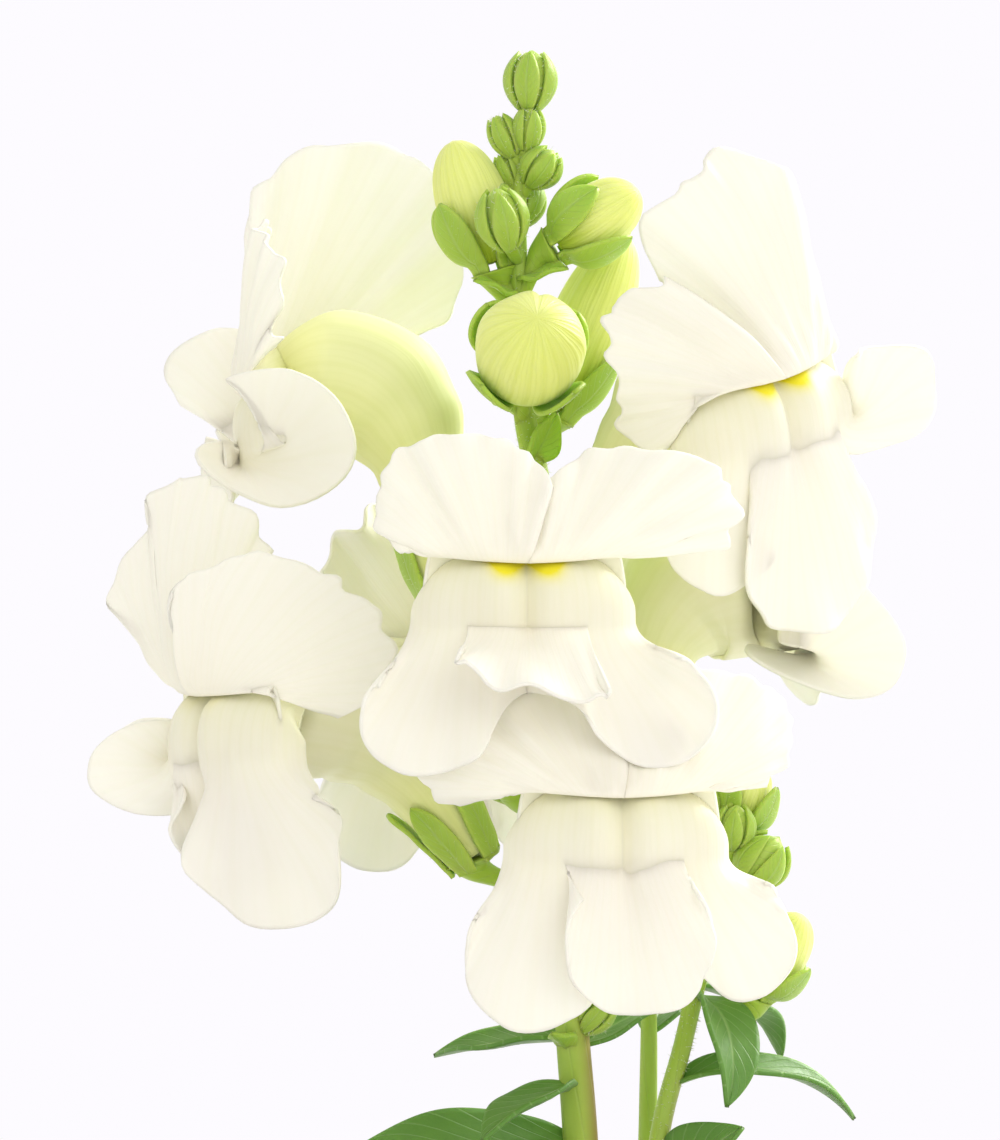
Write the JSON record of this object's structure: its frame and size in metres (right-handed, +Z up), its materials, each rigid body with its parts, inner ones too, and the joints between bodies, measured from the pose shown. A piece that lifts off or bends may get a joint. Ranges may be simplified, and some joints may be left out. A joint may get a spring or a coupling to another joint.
{
  "type": "snapdragon plant in a pot",
  "caption": "Snapdragon with a spike of pale two-lipped flowers, green buds and leafy shoots, growing in a plain round pot.",
  "frame": {"origin": "centre of the pot's foot on the ground, under the middle of the plant's box", "axes": "+Z up along the main stem, -Y towards the two open flowers that face the viewer, +X to the viewer's right"},
  "size_m": [0.105, 0.1044, 0.2424],
  "materials": {
    "petal": "matte",
    "bud": "satin",
    "green": "satin",
    "pot": "matte",
    "soil": "matte"
  },
  "bodies": {
    "root": {"back_shoot": "green", "bud_back": "bud", "bud_front": "bud", "bud_left": "bud", "bud_right": "bud", "floret_back": "petal", "floret_front_lower": "petal", "floret_front_upper": "petal", "floret_low_right": "petal", "floret_mid_left": "petal", "floret_top_left": "petal", "floret_top_right": "petal", "front_shoot": "green", "left_shoot": "green", "main_stem": "green", "pot": "pot", "right_shoot": "green", "shoot_bud_opening": "bud", "shoot_bud_upper": "bud", "soil": "soil"}
  },
  "joints": []
}
